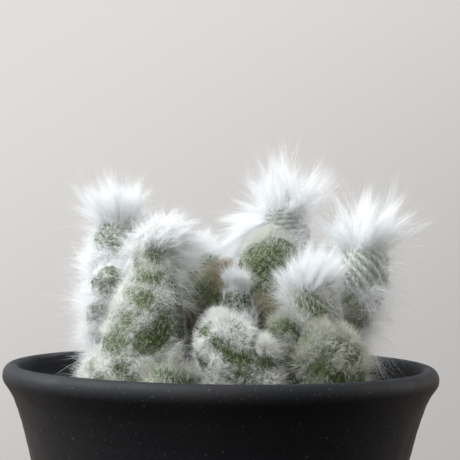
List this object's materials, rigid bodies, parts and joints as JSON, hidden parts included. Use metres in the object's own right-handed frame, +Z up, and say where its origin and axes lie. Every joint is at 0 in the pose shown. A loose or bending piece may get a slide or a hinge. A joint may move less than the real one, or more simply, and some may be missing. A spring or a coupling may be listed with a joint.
{
  "type": "potted peruvian old man cactus",
  "caption": "Clump of short, stubby cactus stems covered in long white woolly hair, growing in soil in a flared, thick-lipped charcoal clay pot.",
  "frame": {"origin": "centre of the pot's foot, on the surface that the pot stands on", "axes": "+Z up along the pot's axis; -Y is the front that the picture shows; +X is to the picture's right"},
  "size_m": [0.11, 0.11, 0.147],
  "materials": {
    "charcoal_clay": "satin",
    "mesh_plastic": "matte",
    "potting_mix": "matte",
    "green_flesh": "satin",
    "white_wool": "matte"
  },
  "bodies": {
    "root": {"pot": "charcoal_clay", "drain_screen": "mesh_plastic", "soil": "potting_mix", "stem_left_back": "green_flesh", "stem_left_front": "green_flesh", "stem_front": "green_flesh", "stem_centre": "green_flesh", "stem_top": "green_flesh", "stem_right_front": "green_flesh", "stem_right": "green_flesh", "stem_back_middle": "green_flesh", "stem_back_left": "green_flesh", "stem_far_left": "green_flesh", "stem_rear_left": "green_flesh", "stem_rear": "green_flesh", "stem_rear_right": "green_flesh", "stem_back_right": "green_flesh", "stem_far_right": "green_flesh", "wool_left_back": "white_wool", "wool_left_front": "white_wool", "wool_top": "white_wool", "wool_top_side": "white_wool", "wool_right_front": "white_wool", "wool_right": "white_wool", "wool_back_middle": "white_wool", "wool_back_left": "white_wool", "wool_rear": "white_wool", "wool_rear_right": "white_wool", "wool_back_right": "white_wool", "wool_far_right": "white_wool"}
  },
  "joints": []
}
